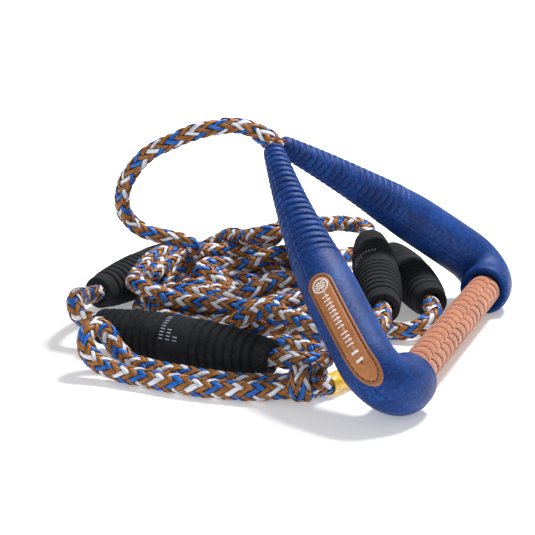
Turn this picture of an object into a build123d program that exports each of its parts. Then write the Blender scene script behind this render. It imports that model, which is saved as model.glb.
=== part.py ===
"""Tow rope handle: a triangular moulded foam handle with a suede bar, and its whole tow rope.

The bar lies along +Y, the handle leans back to its apex at -X, and the part stands on z = 0.
The rope leaves the apex, stands in a loop, and lies in a loose pile with four foam floats on it.
All lengths are in millimetres.
"""
import os
from math import atan, cos, degrees, hypot, pi, radians, sin, sqrt, tan

from build123d import *

# Handle: a triangle in one plane, p along the bar and q from the bar to the apex
LEAN = 43.0                 # angle between the handle's plane and the floor
ELBOW_R = 22.7              # outer radius of the foam at the elbows
ELBOW_BEND = 23.6           # bend radius of the elbow's centreline
ARM_LENGTH = 229.0          # length of an arm's centreline, tip to elbow
TIP_HEADING = 47.5          # an arm's angle off the q axis at its tip
ELBOW_HEADING = 29.5        # the same angle where the elbow starts
TIP_P = 8.6                 # distance of a tip's centre from the middle plane
TIP_R = 8.2                # radius of an arm at its tip
MOUTH_P = 119.0             # distance of an elbow's mouth from the middle plane
ARM_RADII = ((0.0, TIP_R), (98.0, 15.9), (158.0, 22.1), (ARM_LENGTH, ELBOW_R))
RIB_COUNT = 20              # grooves moulded round each arm
RIB_START = 7.0             # first groove, measured from the tip
RIB_PITCH = 6.8
RIB_DEPTH = 1.3

# Grip: a tube with end plugs, a foam underlay and a suede wrap
GRIP_R = 15.0               # outside of the suede
WRAP_WALL = 1.2
TUBE_R = 11.0
TUBE_BORE_R = 8.0
TUBE_END = 130.0            # half length of the bar's tube
WRAP_END = 120.2            # half length of the underlay and of the wrap
RECESS_P = 121.0            # floor of the recess that takes the wrap's end
RECESS_R = 16.4
TUBE_GAP = 0.4              # running clearance of the tube in the elbow
PLUG_LENGTH = 14.0
PLUG_BORE_R = 6.2
YOKE_R = 5.0                # rope core inside the arms and the bar
YOKE_GAP = 0.25

# Leather patch along the outer side of the near arm
PATCH_START = 158.0         # along the arm's centreline
PATCH_LENGTH = 88.0
PATCH_HALF_WIDTH = 10.5
PATCH_WALL = 1.6
PATCH_TURN = 18.0           # degrees round the arm, from its outer side towards the plane's upper face
STITCH_INSET = 2.6
STITCH_WALL = 0.5

# Rope, floats and what is on the rope's end
ROPE_R = 8.0
FLOAT_END_R = 14.0
FLOAT_MID_R = 20.5
FLOAT_BORE_R = 8.6
FLOAT_RIB_PITCH = 7.4
FLOAT_RIB_DEPTH = 1.2
FLOAT_PLAIN = 11.0          # half length of the plain band round a float's middle
KNOT_R = 13.5
TAG_WALL = 0.5
TAG_LENGTH = 34.0
SPLICE_R = 8.8
SPLICE_LENGTH = 15.0

lean = radians(LEAN)
curve = (radians(ELBOW_HEADING) - radians(TIP_HEADING)) / ARM_LENGTH


def arm_point(s):
    """Centreline point (p, q) and heading of an arm, s from the tip, before the bar is put at q = 0."""
    heading = radians(TIP_HEADING) + curve * s
    p = TIP_P + (cos(radians(TIP_HEADING)) - cos(heading)) / curve
    q = -(sin(heading) - sin(radians(TIP_HEADING))) / curve
    return p, q, heading


elbow_p, elbow_q, elbow_heading = arm_point(ARM_LENGTH)
elbow_centre = (elbow_p - ELBOW_BEND * cos(elbow_heading), elbow_q - ELBOW_BEND * sin(elbow_heading))
tip_q = -(elbow_centre[1] - ELBOW_BEND)          # height of the tips over the bar, in the plane
BAR_END_P = elbow_centre[0]                      # where the elbow's bend meets the bar's axis
BAR_Z = ELBOW_R
TIP_REACH = (tip_q + TIP_R) * cos(lean)
BAR_X = (TIP_REACH - ELBOW_R) / 2                # puts the origin under the middle of the handle

handle_plane = Plane(origin=(BAR_X, 0, BAR_Z), x_dir=(0, 1, 0), z_dir=(sin(lean), 0, cos(lean)))


def in_row(shape):
    """Place a shape drawn in the handle's plane into the row's frame."""
    return handle_plane.location * shape


def arm_station(s, side):
    """Point, travel direction and outward normal at s along one arm; s past the arm is on the elbow."""
    if s <= ARM_LENGTH:
        p, q, heading = arm_point(s)
        q += tip_q
    else:
        heading = elbow_heading - (s - ARM_LENGTH) / ELBOW_BEND
        p = elbow_centre[0] + ELBOW_BEND * cos(heading)
        q = elbow_centre[1] + tip_q + ELBOW_BEND * sin(heading)
    return (Vector(side * p, q, 0), Vector(side * sin(heading), -cos(heading), 0),
            Vector(side * cos(heading), sin(heading), 0))


def arm_radius(s):
    """Radius of the moulded foam at s, without its ribs."""
    for (s0, r0), (s1, r1) in zip(ARM_RADII, ARM_RADII[1:]):
        if s <= s1:
            return r0 + (r1 - r0) * (s - s0) / (s1 - s0)
    return ELBOW_R


def ring(s, radius, side):
    """A round section across an arm."""
    point, along, out = arm_station(s, side)
    return Plane(point, x_dir=out, z_dir=along) * Circle(radius)


def arm_profile():
    """Stations and radii of an arm: a rounded tip, the ribs, then the plain foam."""
    stations = [(0.0, 5.6), (1.2, 7.2), (3.6, 8.2), (RIB_START - 1.4, arm_radius(RIB_START))]
    for k in range(RIB_COUNT):
        s = RIB_START + k * RIB_PITCH
        stations.append((s, arm_radius(s) - RIB_DEPTH))
        stations.append((s + 1.3, arm_radius(s + 1.3)))
        stations.append((s + RIB_PITCH / 2, arm_radius(s + RIB_PITCH / 2) + 0.3))
        stations.append((s + RIB_PITCH - 1.3, arm_radius(s + RIB_PITCH - 1.3)))
    smooth_start = stations[-1][0]
    for k in range(1, 8):
        s = smooth_start + (ARM_LENGTH - smooth_start) * k / 7
        stations.append((s, arm_radius(s)))
    return stations


def centre_path(side, start=0.0):
    """The line of an arm's centre, from near its tip, round its elbow and onto the bar's axis."""
    first, first_way, _ = arm_station(start, side)
    arm = TangentArc(first, arm_station(ARM_LENGTH, side)[0], tangent=first_way)
    bend = TangentArc(arm @ 1, Vector(side * BAR_END_P, 0, 0), tangent=arm % 1)
    return arm, bend


def bar_cylinder(radius, start, end):
    """A cylinder on the bar's axis between two values of p, in the handle's plane."""
    low, high = min(start, end), max(start, end)
    return Plane((low, 0, 0), x_dir=(0, 1, 0), z_dir=(1, 0, 0)) * extrude(Circle(radius), high - low)


def arm_foam(side):
    """One moulded arm: ribbed taper, round elbow, a mouth for the bar and a channel for the yoke."""
    taper = loft([ring(s, r, side) for s, r in arm_profile()], ruled=True)
    arm, bend = centre_path(side)
    section = Plane(bend @ 0, x_dir=(0, 0, 1), z_dir=bend % 0) * Circle(ELBOW_R)
    elbow = sweep(section, path=bend)
    mouth = bar_cylinder(ELBOW_R, side * MOUTH_P, side * BAR_END_P)
    foam = taper + elbow + mouth
    channel_section = Plane(arm @ 0, x_dir=(0, 0, 1), z_dir=arm % 0) * Circle(YOKE_R + YOKE_GAP)
    channel = sweep(channel_section, path=Wire([arm, bend]))
    foam -= channel
    foam -= bar_cylinder(RECESS_R, side * (MOUTH_P - 2), side * RECESS_P)
    foam -= bar_cylinder(TUBE_R + TUBE_GAP, side * RECESS_P, side * (TUBE_END + TUBE_GAP))
    return in_row(foam)


def yoke_rope():
    """The rope core that runs up both arms and through the bar."""
    near_arm, near_bend = centre_path(-1)
    far_arm, far_bend = centre_path(1)
    bar = Line((-BAR_END_P, 0, 0), (BAR_END_P, 0, 0))
    path = Wire([near_arm, near_bend, bar, far_bend, far_arm])
    section = Plane(near_arm @ 0, x_dir=(0, 0, 1), z_dir=near_arm % 0) * Circle(YOKE_R)
    return in_row(sweep(section, path=path))


def bar_sleeve(outer, inner, half_length):
    """A hollow cylinder on the bar's axis, centred."""
    return in_row(bar_cylinder(outer, -half_length, half_length) - bar_cylinder(inner, -half_length, half_length))


def bar_plug(side):
    """A nylon plug in the tube's end that keeps the yoke rope off its edge."""
    start, end = side * (TUBE_END - PLUG_LENGTH), side * TUBE_END
    return in_row(bar_cylinder(TUBE_BORE_R, start, end) - bar_cylinder(PLUG_BORE_R, start, end))


def patch_tile(s, half_width, base, wall):
    """A section of the patch: a thin piece of ring on the outer side of the near arm."""
    point, along, out = arm_station(s, -1)
    low = arm_radius(s) + base
    half_angle = half_width / low
    angles = [half_angle * (k / 2 - 1) - radians(PATCH_TURN) for k in range(5)]
    outline = [((low + wall) * cos(a), (low + wall) * sin(a)) for a in angles]
    outline += [(low * cos(a), low * sin(a)) for a in reversed(angles)]
    return Plane(point, x_dir=out, z_dir=along) * make_face(Polyline(*outline, close=True))


def patch_strip(start, length, half_width, base, wall):
    """A strip with round ends laid along the arm's outer side."""
    ends = [half_width * (1 - cos(radians(a))) for a in (14, 35, 60, 90)]
    middle = [half_width + (length - 2 * half_width) * k / 6 for k in range(1, 6)]
    places = ends + middle + [length - e for e in reversed(ends)]
    tiles = []
    for place in places:
        from_end = min(place, length - place, half_width)
        width = sqrt(half_width ** 2 - (half_width - from_end) ** 2)
        tiles.append(patch_tile(start + place, width, base, wall))
    return loft(tiles, ruled=True)


def arm_patch():
    """The leather patch, and the stitched line raised on its face."""
    patch = patch_strip(PATCH_START, PATCH_LENGTH, PATCH_HALF_WIDTH, 0.05, PATCH_WALL)
    top = 0.05 + PATCH_WALL
    inner_length = PATCH_LENGTH - 2 * STITCH_INSET
    outer = patch_strip(PATCH_START + STITCH_INSET, inner_length, PATCH_HALF_WIDTH - STITCH_INSET, top, STITCH_WALL)
    inner = patch_strip(PATCH_START + STITCH_INSET + 1, inner_length - 2,
                        PATCH_HALF_WIDTH - STITCH_INSET - 1, top - 0.5, STITCH_WALL + 1)
    return in_row(patch), in_row(outer - inner)


# Routes of the rope: hand-laid points, each stretch passing straight through its floats
apex = Vector(BAR_X, 0, BAR_Z) + Vector(-cos(lean), 0, sin(lean)) * (tip_q + 2.0)
splice_way = Vector(-0.80, -0.14, 0.58).normalized()
splice_end = apex + splice_way * SPLICE_LENGTH

ROUTES = {
    "rope_lead": [
        tuple(splice_end), tuple(splice_end + splice_way * 14), (-142, -24, 185), (-167, -30, 174),
        (-190, -33, 163), (-209, -34, 143), (-221, -28, 122), (-226, -16, 100), (-216, -5, 83), (-195, 2, 77),
        (-167, 10, 72),
    ],
    "rope_right": [
        (-116, 60, 74), (-103, 97, 71), (-90, 134, 66), (-80, 166, 60), (-60, 174, 56), (-50, 150, 52),
        (18, -18, 35), (24, -48, 34), (12, -74, 35), (-15, -80, 38), (-46, -70, 42), (-76, -54, 45),
    ],
    "rope_rear": [
        (-137, 102, 20), (-128, 146, 14), (-112, 184, 12), (-90, 218, 13), (-66, 228, 18),
        (-49, 210, 22), (42, 58, 22), (44, 38, 17), (33, 24, 11), (12, 20, 8), (-20, 22, 8), (-58, 20, 12),
    ],
    "rope_left": [
        (-160, 120, 22), (-171, 146, 18), (-190, 166, 18), (-216, 171, 20), (-231, 149, 22), (-254, -34, 24),
        (-250, -54, 32), (-244, -74, 38), (-237, -90, 31), (-225, -92, 22), (-31, -115, 22), (-14, -104, 20),
        (-12, -84, 14), (-17, -66, 11), (-34, -58, 12), (-56, -54, 14),
    ],
    "rope_end": [
        (-56, -24, 14), (-30, -26, 10), (-6, -28, 8), (13, -46, 8), (16, -84, 8), (2, -128, 9), (-6, -138, 12),
    ],
    "rope_loop": [
        (-14, -131, 12), (-40, -137, 9), (-68, -140, 8), (-95, -142, 8), (-124, -140, 8), (-146, -136, 8),
        (-164, -133, 9), (-178, -130, 19), (-190, -129, 39), (-196, -148, 35), (-191, -155, 22),
        (-181, -156, 14), (-164, -157, 9), (-132, -159, 8), (-92, -161, 8), (-66, -158, 8),
        (-38, -153, 9), (-14, -144, 12),
    ],
}

# The four floats: the rope stretch each one sits on and the route point where its straight run starts
FLOATS = {
    "float_right": ("rope_right", 5),
    "float_rear": ("rope_rear", 5),
    "float_left": ("rope_left", 4),
    "float_front": ("rope_left", 9),
}
FLOAT_INSET = 14.0          # from the ends of that run to the ends of the float

# The pile of turns: an oval ring, lower in front than behind
COIL_CENTRE = (-131, 36)
COIL_HALF_LENGTH = 84.0
COIL_HALF_WIDTH = 98.0
COIL_TURN = 20.0            # the oval's long axis, measured from +X
COIL_FRONT_HEIGHT = 66.0
COIL_BACK_HEIGHT = 94.0
COIL_HOLE = (34.0, 24.0)    # half length and half width of the space in the middle


def corner_radii(points):
    """The largest tangent arc that the two runs beside each corner allow."""
    radii = []
    for before, corner, after in zip(points, points[1:], points[2:]):
        run_in = Vector(*corner) - Vector(*before)
        run_out = Vector(*after) - Vector(*corner)
        turn = radians(run_in.get_angle(run_out))
        radii.append(0.45 * min(run_in.length, run_out.length) / tan(turn / 2))
    return radii


def rope_tube(name, points):
    """A rope stretch: straight runs joined by tangent arcs, with a round section."""
    radii = corner_radii(points)
    path = FilletPolyline(*points, radius=radii)
    section = Plane(path @ 0, z_dir=path % 0) * Circle(ROPE_R)
    tube = sweep(section, path=path)
    volume_error = tube.volume / (path.length * pi * ROPE_R ** 2) - 1
    print(name, "radii", [round(r) for r in radii])
    print(name, "length", round(path.length), "volume error", round(volume_error, 4))
    return tube


def float_body(stretch, index):
    """A foam float: a barrel with moulded grooves, a plain band round its middle, bored for the rope."""
    run_start, run_end = (Vector(*point) for point in ROUTES[stretch][index:index + 2])
    way = (run_end - run_start).normalized()
    start, end = run_start + way * FLOAT_INSET, run_end - way * FLOAT_INSET
    length = (end - start).length
    half = length / 2

    def radius(x):
        return FLOAT_END_R + (FLOAT_MID_R - FLOAT_END_R) * cos(min(abs(x - half) / half, 1) * pi / 2) ** 0.8

    outline = [(FLOAT_BORE_R, 0), (FLOAT_END_R - 1.5, 0), (FLOAT_END_R, 1.5)]
    count = int((half - FLOAT_PLAIN - 4) / FLOAT_RIB_PITCH)
    places = [half + way * (FLOAT_PLAIN + FLOAT_RIB_PITCH * (k + 0.5)) for way in (-1, 1) for k in range(count)]
    for place in sorted(places):
        outline.append((radius(place - 2.6), place - 2.6))
        outline.append((radius(place - 0.6) - FLOAT_RIB_DEPTH, place - 0.6))
        outline.append((radius(place + 0.6) - FLOAT_RIB_DEPTH, place + 0.6))
        outline.append((radius(place + 2.6), place + 2.6))
    outline += [(FLOAT_END_R, length - 1.5), (FLOAT_END_R - 1.5, length), (FLOAT_BORE_R, length)]
    profile = Plane.XZ * make_face(Polyline(*outline, close=True))
    barrel = revolve(profile, axis=Axis.Z)
    return Plane(start, z_dir=way).location * barrel


def rope_coil():
    """The piled turns as one oval ring with a sloping top."""
    turn = radians(COIL_TURN)
    ground = Plane(origin=(*COIL_CENTRE, 0), x_dir=(cos(turn), sin(turn), 0), z_dir=(0, 0, 1))
    oval = Ellipse(COIL_HALF_LENGTH, COIL_HALF_WIDTH) - Ellipse(*COIL_HOLE)
    block = extrude(ground * oval, COIL_BACK_HEIGHT)
    slope = degrees(atan((COIL_BACK_HEIGHT - COIL_FRONT_HEIGHT) / (2 * COIL_HALF_WIDTH)))
    middle = (COIL_FRONT_HEIGHT + COIL_BACK_HEIGHT) / 2
    lid = ground.location * Location((0, 0, middle), (slope, 0, 0)) * Box(
        400, 400, 60, align=(Align.CENTER, Align.CENTER, Align.MIN))
    return block - lid


def loop_knot():
    """The hand knot that closes the boat loop: a rounded lump round the crossing strands."""
    x, y, _ = ROUTES["rope_end"][-1]
    return Location((x, y, KNOT_R)) * Sphere(KNOT_R)


def label_tag():
    """A plain vinyl sleeve round the rope beside the knot."""
    start, end = (Vector(*point) for point in ROUTES["rope_end"][4:6])
    way = (end - start).normalized()
    middle = (start + end) * 0.5
    plane = Plane(middle - way * (TAG_LENGTH / 2), z_dir=way)
    outer = extrude(plane * Circle(ROPE_R + TAG_WALL), TAG_LENGTH)
    sleeve = outer - extrude(plane * Circle(ROPE_R + 0.02), TAG_LENGTH)
    return sleeve - Pos(0, 0, -10) * Box(800, 800, 20)


def apex_splice():
    """The short whipped throat where both yoke legs become the tow rope."""
    return extrude(Plane(apex, z_dir=splice_way) * Circle(SPLICE_R), SPLICE_LENGTH)


patch, stitching = arm_patch()
nodes = {
    "near_arm": arm_foam(-1),
    "far_arm": arm_foam(1),
    "yoke_rope": yoke_rope(),
    "bar_tube": bar_sleeve(TUBE_R, TUBE_BORE_R, TUBE_END),
    "near_bar_plug": bar_plug(-1),
    "far_bar_plug": bar_plug(1),
    "grip_underlay": bar_sleeve(GRIP_R - WRAP_WALL, TUBE_R, WRAP_END),
    "grip_wrap": bar_sleeve(GRIP_R, GRIP_R - WRAP_WALL, WRAP_END),
    "arm_patch": patch,
    "patch_stitching": stitching,
    "apex_splice": apex_splice(),
    "rope_coil": rope_coil(),
    "loop_knot": loop_knot(),
    "label_tag": label_tag(),
}
for name, (stretch, index) in FLOATS.items():
    nodes[name] = float_body(stretch, index)
for name, points in ROUTES.items():
    nodes[name] = rope_tube(name, points)

os.makedirs("parts", exist_ok=True)
for name, shape in nodes.items():
    export_step(shape, f"parts/{name}.step")
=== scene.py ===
"""A wakesurf tow handle with its whole braided rope, piled loose beside it.

The frame is the handle's own: the bar lies along +Y, the apex leans to -X, and the part stands on z = 0.
All lengths are in metres.
"""
from math import atan2, cos, pi, radians, sin

import bpy
import numpy as np
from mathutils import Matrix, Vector


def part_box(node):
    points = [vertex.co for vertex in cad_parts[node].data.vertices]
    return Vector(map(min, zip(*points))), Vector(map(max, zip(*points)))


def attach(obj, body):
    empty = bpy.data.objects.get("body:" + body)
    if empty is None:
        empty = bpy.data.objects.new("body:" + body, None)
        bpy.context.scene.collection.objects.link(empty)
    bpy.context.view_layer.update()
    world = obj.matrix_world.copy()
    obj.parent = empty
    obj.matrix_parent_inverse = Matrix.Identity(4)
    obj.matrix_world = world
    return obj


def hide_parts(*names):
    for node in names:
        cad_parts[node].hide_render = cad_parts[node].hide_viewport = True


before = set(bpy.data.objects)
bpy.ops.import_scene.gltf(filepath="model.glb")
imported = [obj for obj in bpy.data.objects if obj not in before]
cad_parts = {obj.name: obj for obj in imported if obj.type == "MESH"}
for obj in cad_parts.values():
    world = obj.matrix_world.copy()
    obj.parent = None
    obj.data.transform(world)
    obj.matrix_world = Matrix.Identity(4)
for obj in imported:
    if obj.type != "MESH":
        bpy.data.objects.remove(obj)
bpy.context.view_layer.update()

ROOT = "rope_and_arms"
MM = 0.001

# ---------------------------------------------------------------- sizes, in metres
LEAN = radians(43)
ELBOW_RADIUS = 0.0227
ELBOW_BEND = 0.0236
ARM_LENGTH = 0.229
TIP_HEADING = radians(47.5)
ELBOW_HEADING = radians(29.5)
TIP_SIDE = 0.0086
MOUTH = 0.119
ARM_RADII = ((0.0, 0.0082), (0.098, 0.0159), (0.158, 0.0221), (ARM_LENGTH, ELBOW_RADIUS))
RIB_START = 0.007
RIB_PITCH = 0.0068
RIB_COUNT = 20

ROPE_DIAMETER = 0.016

bar_low, bar_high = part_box("bar_tube")
bar_middle = (bar_low + bar_high) / 2


# ---------------------------------------------------------------- camera
def make_camera():
    """A long lens at the viewing angle, aimed left of the bar's middle."""
    azimuth, elevation, distance = radians(21.6), radians(16.9), 1.252
    look = Vector((-sin(azimuth) * cos(elevation), cos(azimuth) * cos(elevation), -sin(elevation)))
    right = Vector((cos(azimuth), sin(azimuth), 0))
    up = right.cross(look)
    aim = bar_middle - right * 0.1530 + up * 0.0534
    data = bpy.data.cameras.new("camera")
    data.lens = 100.26
    data.sensor_width = 36
    data.clip_end = 20
    camera = bpy.data.objects.new("camera", data)
    camera.location = aim - look * distance
    camera.rotation_euler = look.to_track_quat("-Z", "Y").to_euler()
    bpy.context.scene.collection.objects.link(camera)
    bpy.context.scene.camera = camera


make_camera()


# ---------------------------------------------------------------- node helpers for materials
class Nodes:
    """A short way to write a material's node tree."""

    def __init__(self, name):
        self.material = bpy.data.materials.new(name)
        self.material.use_nodes = True
        self.tree = self.material.node_tree
        self.shader = self.tree.nodes["Principled BSDF"]

    def add(self, kind, inputs=None, **settings):
        node = self.tree.nodes.new(kind)
        for key, value in settings.items():
            setattr(node, key, value)
        for key, value in (inputs or {}).items():
            if isinstance(value, bpy.types.NodeSocket):
                self.tree.links.new(value, node.inputs[key])
            else:
                node.inputs[key].default_value = value
        return node

    def link(self, output, name):
        self.tree.links.new(output, self.shader.inputs[name])

    def set(self, **values):
        names = {"roughness": "Roughness", "specular": "Specular IOR Level", "sheen": "Sheen Weight",
                 "sheen_roughness": "Sheen Roughness", "metallic": "Metallic", "coat": "Coat Weight",
                 "coat_roughness": "Coat Roughness"}
        for key, value in values.items():
            self.shader.inputs[names[key]].default_value = value

    def math(self, operation, a, b=0.0):
        return self.add("ShaderNodeMath", {0: a, 1: b}, operation=operation).outputs[0]

    def ramp(self, factor, stops):
        node = self.add("ShaderNodeValToRGB", {"Fac": factor})
        elements = node.color_ramp.elements
        while len(elements) < len(stops):
            elements.new(0.5)
        for element, (place, colour) in zip(elements, stops):
            element.position = place
            element.color = (*colour, 1)
        return node.outputs["Color"]

    def noise(self, vector, scale, detail=3.0, roughness=0.55):
        return self.add("ShaderNodeTexNoise", {"Vector": vector, "Scale": scale, "Detail": detail,
                                               "Roughness": roughness}).outputs["Fac"]

    def stretched(self, vector, scale):
        return self.add("ShaderNodeVectorMath", {0: vector, 1: scale}, operation="MULTIPLY").outputs[0]

    def place(self):
        return self.add("ShaderNodeTexCoord").outputs["Object"]

    def attribute(self, name, output="Vector"):
        return self.add("ShaderNodeAttribute", attribute_name=name, attribute_type="GEOMETRY").outputs[output]

    def bump(self, height, strength, distance):
        inputs = {"Height": height, "Strength": strength, "Distance": distance}
        return self.add("ShaderNodeBump", inputs).outputs["Normal"]


def yarn_material(name, dark, mid, light, roughness):
    """Flat multi-filament yarn: fine streaks along each strand, read from the strand's own coordinates."""
    n = Nodes(name)
    yarn = n.attribute("yarn")
    fine = n.noise(n.stretched(yarn, (3.6, 130.0, 7.3)), 1.0, 4.0, 0.6)
    broad = n.noise(n.stretched(yarn, (0.9, 55.0, 5.1)), 1.0, 2.0)
    mix = n.math("ADD", n.math("MULTIPLY", fine, 0.65), n.math("MULTIPLY", broad, 0.35))
    shade = n.ramp(mix, [(0.28, dark), (0.5, mid), (0.72, light)])
    split = n.add("ShaderNodeSeparateXYZ", {"Vector": yarn})
    edge = n.math("ABSOLUTE", split.outputs["X"], 0.0)
    in_gap = n.ramp(edge, [(0.55, (1.0, 1.0, 1.0)), (0.98, (0.16, 0.14, 0.14))])
    tinted = n.add("ShaderNodeVectorMath", {0: shade, 1: in_gap}, operation="MULTIPLY").outputs[0]
    n.link(tinted, "Base Color")
    n.link(n.bump(fine, 0.7, 0.0004), "Normal")
    n.set(roughness=roughness, specular=0.4, sheen=0.05, sheen_roughness=0.4)
    return n.material


tan_yarn = yarn_material("yarn_tan", (0.065, 0.018, 0.003), (0.31, 0.108, 0.014), (0.52, 0.225, 0.042), 0.42)
blue_yarn = yarn_material("yarn_blue", (0.001, 0.030, 0.16), (0.001, 0.110, 0.48), (0.01, 0.26, 0.82), 0.36)
white_yarn = yarn_material("yarn_white", (0.24, 0.24, 0.32), (0.72, 0.72, 0.78), (0.95, 0.95, 0.97), 0.46)
YARNS = (blue_yarn, tan_yarn, white_yarn)


# ---------------------------------------------------------------- mesh helpers
def mesh_object(name, verts, faces, materials, slot, body=ROOT, slots_of_faces=None):
    """A mesh in the row frame that rides on a body."""
    mesh = bpy.data.meshes.new(name)
    mesh.from_pydata([tuple(v) for v in verts], [], [tuple(f) for f in faces])
    for material in materials:
        mesh.materials.append(material)
    if slots_of_faces is not None:
        mesh.polygons.foreach_set("material_index", np.asarray(slots_of_faces, np.int32))
    mesh.polygons.foreach_set("use_smooth", np.ones(len(mesh.polygons), bool))
    mesh.update()
    piece = bpy.data.objects.new(name, mesh)
    bpy.context.scene.collection.objects.link(piece)
    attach(piece, body)
    return piece


def grid_faces(rows, columns, first=0):
    """Quads of a rows by columns grid of vertices, closed round its columns."""
    r, c = np.meshgrid(np.arange(rows - 1), np.arange(columns), indexing="ij")
    d = (c + 1) % columns
    quads = np.stack([r * columns + c, r * columns + d, (r + 1) * columns + d, (r + 1) * columns + c], -1)
    return (quads.reshape(-1, 4) + first).tolist()


def tube_faces(rows, sides, first=0):
    """The faces of a closed tube: its wall and a cap at each end."""
    faces = grid_faces(rows, sides, first=first)
    faces.append([first + k for k in reversed(range(sides))])
    faces.append([first + (rows - 1) * sides + k for k in range(sides)])
    return faces


def unit(v):
    return v / (np.linalg.norm(v, axis=-1, keepdims=True) + 1e-12)


def along(points):
    """Distance along a polyline at each of its points."""
    return np.concatenate([[0.0], np.cumsum(np.linalg.norm(np.diff(points, axis=0), axis=1))])


def resample(points, step):
    """The same polyline with points an even step apart."""
    points = np.asarray(points, float)
    run = along(points)
    places = np.linspace(0, run[-1], max(2, round(run[-1] / step) + 1))
    return np.stack([np.interp(places, run, points[:, k]) for k in range(3)], -1)


def level_frames(points):
    """Tangents and two normals along a line, carried forward without twisting."""
    tangents = unit(np.gradient(points, axis=0))
    side = np.cross(tangents[0], (0.0, 0.0, 1.0))
    if np.linalg.norm(side) < 0.1:
        side = np.cross(tangents[0], (0.0, 1.0, 0.0))
    sides = [side / np.linalg.norm(side)]
    for k in range(1, len(points)):
        v = sides[-1] - tangents[k] * np.dot(sides[-1], tangents[k])
        sides.append(v / np.linalg.norm(v))
    sides = np.array(sides)
    return tangents, sides, np.cross(tangents, sides)


def nurbs_line(control_points):
    """The smooth line of a NURBS spline through its control points, as a polyline."""
    data = bpy.data.curves.new("route", "CURVE")
    data.dimensions = "3D"
    spline = data.splines.new("NURBS")
    spline.points.add(len(control_points) - 1)
    for point, place in zip(spline.points, control_points):
        point.co = (*place, 1.0)
    spline.order_u = 3
    spline.use_endpoint_u = True
    spline.resolution_u = 8
    route = bpy.data.objects.new("route", data)
    bpy.context.scene.collection.objects.link(route)
    bpy.context.view_layer.update()
    mesh = bpy.data.meshes.new_from_object(route.evaluated_get(bpy.context.evaluated_depsgraph_get()))
    line = np.array([v.co for v in mesh.vertices])
    bpy.data.objects.remove(route)
    bpy.data.meshes.remove(mesh)
    return line


# ---------------------------------------------------------------- materials
def flecked(name, scales, colours, bump=(0.4, 0.0003), stops=(0.34, 0.46, 0.56, 0.70), **settings):
    """A matt material whose colour comes from fine and broad noise."""
    n = Nodes(name)
    place = n.place()
    fine = n.noise(place, scales[0], 4.0, 0.7)
    broad = n.noise(place, scales[1], 3.0)
    cloudy = n.noise(place, scales[2], 2.0)
    mix = n.math("ADD", n.math("MULTIPLY", fine, 0.55), n.math("MULTIPLY", broad, 0.27))
    mix = n.math("ADD", mix, n.math("MULTIPLY", cloudy, 0.18))
    n.link(n.ramp(mix, list(zip(stops, colours))), "Base Color")
    n.link(n.bump(fine, *bump), "Normal")
    n.set(**settings)
    return n.material


def plain(name, colour, **settings):
    """A plain material with a slight unevenness in its tone."""
    n = Nodes(name)
    tone = n.noise(n.place(), 60.0, 3.0)
    dim = tuple(0.86 * c for c in colour)
    n.link(n.ramp(tone, [(0.35, dim), (0.65, colour)]), "Base Color")
    n.set(**settings)
    return n.material


blue_foam = flecked("arm_foam", (1150.0, 330.0, 40.0),
                    ((0.0006, 0.007, 0.046), (0.001, 0.022, 0.130),
                     (0.003, 0.052, 0.26), (0.040, 0.19, 0.60)),
                    bump=(0.6, 0.0004), roughness=0.5, specular=0.22, sheen=0.04, sheen_roughness=0.4)
suede = flecked("suede", (1500.0, 300.0, 60.0),
                ((0.22, 0.070, 0.034), (0.36, 0.125, 0.062), (0.47, 0.185, 0.100), (0.62, 0.29, 0.18)),
                bump=(0.35, 0.0003), roughness=0.85, specular=0.2, sheen=0.25, sheen_roughness=0.5)
black_foam = flecked("float_foam", (1700.0, 500.0, 60.0),
                     ((0.003, 0.0035, 0.004), (0.008, 0.009, 0.011),
                      (0.017, 0.019, 0.023), (0.055, 0.060, 0.070)),
                     bump=(0.6, 0.0004), roughness=0.9, specular=0.3)
leather = flecked("patch_leather", (900.0, 250.0, 45.0),
                  ((0.26, 0.090, 0.026), (0.38, 0.140, 0.043), (0.46, 0.180, 0.062), (0.56, 0.24, 0.095)),
                  bump=(0.3, 0.0002), roughness=0.5, specular=0.4)
leather_edge = plain("patch_edge", (0.30, 0.115, 0.040), roughness=0.45)
dark_thread = plain("dark_thread", (0.085, 0.030, 0.012), roughness=0.7)
grey_thread = plain("grey_thread", (0.10, 0.055, 0.075), roughness=0.7)
white_print = plain("white_print", (0.86, 0.86, 0.86), roughness=0.6)
grey_print = plain("grey_print", (0.38, 0.42, 0.50), roughness=0.7)
vinyl = plain("tag_vinyl", (0.78, 0.47, 0.012), roughness=0.32, coat=0.3, coat_roughness=0.2)
core_rope = plain("core_rope", (0.72, 0.72, 0.70), roughness=0.7)
drawn_tube = plain("tube", (0.62, 0.63, 0.65), roughness=0.35, metallic=1.0)
nylon = plain("plug", (0.012, 0.012, 0.012), roughness=0.5)
underlay = plain("underlay", (0.02, 0.02, 0.022), roughness=0.9)

for node, material in (("yoke_rope", core_rope), ("bar_tube", drawn_tube), ("near_bar_plug", nylon),
                       ("far_bar_plug", nylon), ("grip_underlay", underlay)):
    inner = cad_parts[node]
    inner.data.materials.clear()
    inner.data.materials.append(material)


# ---------------------------------------------------------------- strips laid on a surface
def strips(surface, lines, width, low, high):
    """Narrow raised strips on a surface: each line is (a, b) points, the section is a low arch."""
    verts, faces = [], []
    shoulder = 0.6 * high + 0.4 * low
    section = ((-1.0, low), (-0.7, shoulder), (0.0, high), (0.7, shoulder), (1.0, low))
    for line in lines:
        line = np.asarray(line, float)
        way = unit(np.gradient(line, axis=0))
        across = np.stack([-way[:, 1], way[:, 0]], -1)
        first = sum(len(v) for v in verts)
        ring = [surface(*(line + across * (x * width / 2)).T, h) for x, h in section]
        verts.append(np.stack(ring, 1).reshape(-1, 3))
        faces += tube_faces(len(line), len(section), first)
    return np.vstack(verts), faces


DASH_POINTS = 4


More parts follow.
